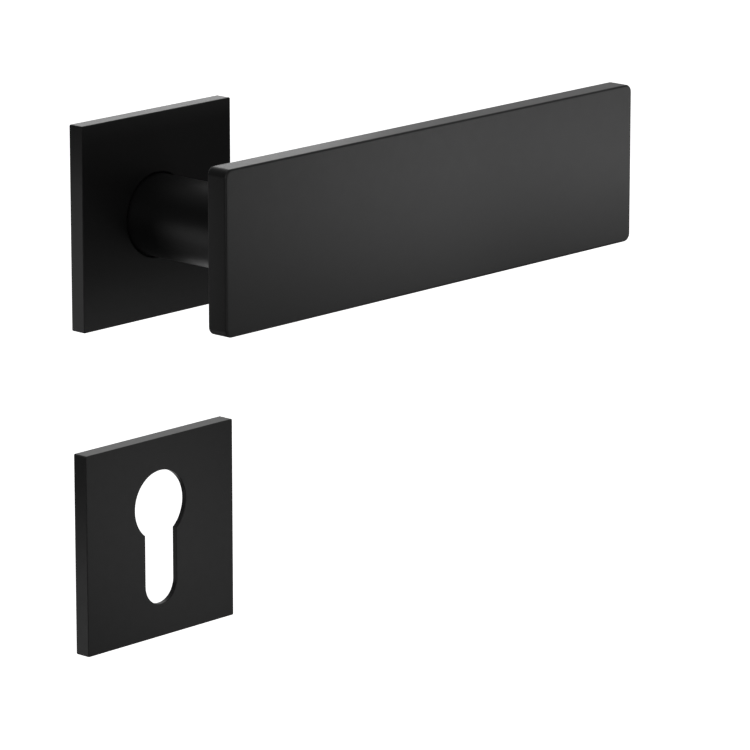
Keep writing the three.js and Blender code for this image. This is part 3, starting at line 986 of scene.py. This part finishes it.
def camera():
    data = bpy.data.cameras.new("camera")
    data.lens = CAMERA_LENS
    data.sensor_width = 36.0
    data.clip_start = 0.05
    data.clip_end = 100.0
    obj = bpy.data.objects.new("camera", data)
    bpy.context.scene.collection.objects.link(obj)
    level, down = math.cos(CAMERA_PITCH), math.sin(CAMERA_PITCH)
    look = Vector((math.sin(CAMERA_YAW) * level, math.cos(CAMERA_YAW) * level, -down))
    obj.location = CAMERA_TARGET - CAMERA_DISTANCE * look
    obj.rotation_mode = "QUATERNION"
    obj.rotation_quaternion = look.to_track_quat("-Z", "Y")
    bpy.context.scene.camera = obj


# The studio's dim light from every side, as the strength of the world's background, and the
# strength of the white that the camera sees instead.
AMBIENT = 0.045
BACKDROP = 1.05

# Brighter parts of the studio: a direction, the degrees from it where the light starts and stops
# fading, and its strength.
GLOWS = {
    "front_right_low": ((0.71, -0.66, -0.24), 8, 50, 0.05),
    "back_right_high": ((0.71, 0.66, 0.24), 8, 45, 0.68),
    "back_right_low": ((0.56, 0.66, -0.50), 8, 40, 0.78),
    "right_high": ((0.74, -0.25, 0.62), 8, 40, 0.25),
    "front_left": ((-0.70, -0.70, 0.20), 5, 32, 1.0),
    "overhead": ((0.0, 0.0, 1.0), 10, 50, 0.35),
    "behind": ((0.0, 1.0, 0.1), 5, 34, 0.5),
    "left": ((-1.0, -0.25, 0.1), 5, 30, 0.22),
    "right": ((1.0, 0.0, 0.1), 5, 38, 0.25),
    "front": ((-0.15, -1.0, 0.1), 5, 30, 0.2),
    "below": ((0.0, -0.3, -0.95), 10, 50, 0.3),
}

# Soft boxes near the object: place, the point it faces, width and height, and strength.
BOXES = {
    "back_top": ((0.145, 0.15, 0.085), (0.0, -0.002, 0.025), (0.12, 0.08), 1.707),
    "rose_side": ((-0.061, 0.031, -0.022), (-0.025, -0.002, -0.004), (0.03, 0.05), 0.79),
    "cutout_side": ((-0.09, 0.055, -0.125), (-0.025, -0.002, -0.095), (0.05, 0.05), 0.98),
    "lever_long": ((0.16, -0.125, 0.0), (0.06, -0.047, 0.0), (0.12, 0.04), 1.39),
    "lever_near": ((0.125, -0.115, -0.02), (0.05, -0.047, 0.0), (0.13, 0.03), 0.57),
    "lever_end": ((0.072, -0.115, -0.014), (0.001, -0.0475, -0.003), (0.09, 0.045), 0.4),
    "cutout_low": ((0.10, -0.105, -0.135), (0.0, -0.004, -0.085), (0.06, 0.05), 0.55),
    "cutout_high": ((0.085, -0.10, -0.10), (0.0, -0.004, -0.08), (0.05, 0.05), 0.7),
}


def soft_box(name, place, target, size, brightness):
    data = bpy.data.lights.new(name, "AREA")
    data.shape = "RECTANGLE"
    data.size, data.size_y = size
    data.energy = brightness * math.pi * size[0] * size[1]
    obj = bpy.data.objects.new(name, data)
    bpy.context.scene.collection.objects.link(obj)
    obj.location = place
    obj.rotation_mode = "QUATERNION"
    obj.rotation_quaternion = (Vector(target) - Vector(place)).to_track_quat("-Z", "Y")
    obj.visible_camera = False


def glow(tree, towards, direction, inner, outer, brightness):
    """A brightness that fades from inner to outer degrees away from a direction."""
    dot = tree.nodes.new("ShaderNodeVectorMath")
    dot.operation = "DOT_PRODUCT"
    dot.inputs[1].default_value = Vector(direction).normalized()
    tree.links.new(towards, dot.inputs[0])
    fade = tree.nodes.new("ShaderNodeMapRange")
    fade.interpolation_type = "SMOOTHSTEP"
    fade.inputs["From Min"].default_value = math.cos(math.radians(outer))
    fade.inputs["From Max"].default_value = math.cos(math.radians(inner))
    fade.inputs["To Max"].default_value = brightness
    tree.links.new(dot.outputs["Value"], fade.inputs["Value"])
    return fade.outputs["Result"]


def world():
    """White to the camera, and to everything else a dim studio with soft glows in it."""
    made = bpy.data.worlds.new("studio")
    bpy.context.scene.world = made
    made.use_nodes = True
    tree = made.node_tree
    tree.nodes.clear()
    output = tree.nodes.new("ShaderNodeOutputWorld")
    seen = tree.nodes.new("ShaderNodeBackground")
    seen.inputs["Color"].default_value = (1.0, 1.0, 1.0, 1.0)
    seen.inputs["Strength"].default_value = BACKDROP
    lit = tree.nodes.new("ShaderNodeBackground")
    lit.inputs["Color"].default_value = (1.0, 1.0, 1.0, 1.0)
    towards = tree.nodes.new("ShaderNodeTexCoord").outputs["Generated"]
    target = lit.inputs["Strength"]
    for settings in GLOWS.values():
        add = tree.nodes.new("ShaderNodeMath")
        tree.links.new(glow(tree, towards, *settings), add.inputs[0])
        tree.links.new(add.outputs[0], target)
        target = add.inputs[1]
    target.default_value = AMBIENT
    path = tree.nodes.new("ShaderNodeLightPath")
    mix = tree.nodes.new("ShaderNodeMixShader")
    tree.links.new(path.outputs["Is Camera Ray"], mix.inputs[0])
    tree.links.new(lit.outputs[0], mix.inputs[1])
    tree.links.new(seen.outputs[0], mix.inputs[2])
    tree.links.new(mix.outputs[0], output.inputs["Surface"])


def floor():
    """A wide pale floor well below the object, for the camera only."""
    reach, height = 6.0, -0.9
    bm = bmesh.new()
    bmesh.ops.create_grid(bm, x_segments=2, y_segments=2, size=reach)
    mesh = bpy.data.meshes.new("floor")
    bm.to_mesh(mesh)
    bm.free()
    obj = bpy.data.objects.new("floor", mesh)
    obj.location = (0.0, 0.0, height)
    bpy.context.scene.collection.objects.link(obj)
    mesh.materials.append(floor_finish())
    obj.visible_glossy = False
    obj.visible_diffuse = False


camera()
world()
for light, settings in BOXES.items():
    soft_box(light, *settings)
floor()
bpy.context.scene.view_settings.view_transform = "Standard"

lever_plate()
neck()
spindle()
grub_screw()
rose_cover()
escutcheon_cover()
for place in ("upper", "lower"):
    wood_screw("rose_wood_screw_" + place, "rose_screw_" + place)
    wood_screw("escutcheon_wood_screw_" + place, "escutcheon_screw_" + place)
    pan_screw("housing_screw_" + place, "lid_screw_" + place)

rose_plate()
escutcheon_plate()
housing_lid()
bearing_bush()
thrust_washer()
return_spring()
spring_driver()
for owner in ("rose", "escutcheon"):
    cover_clip(owner, -1, "left")
    cover_clip(owner, 1, "right")
dress("retaining_ring", SPRING)
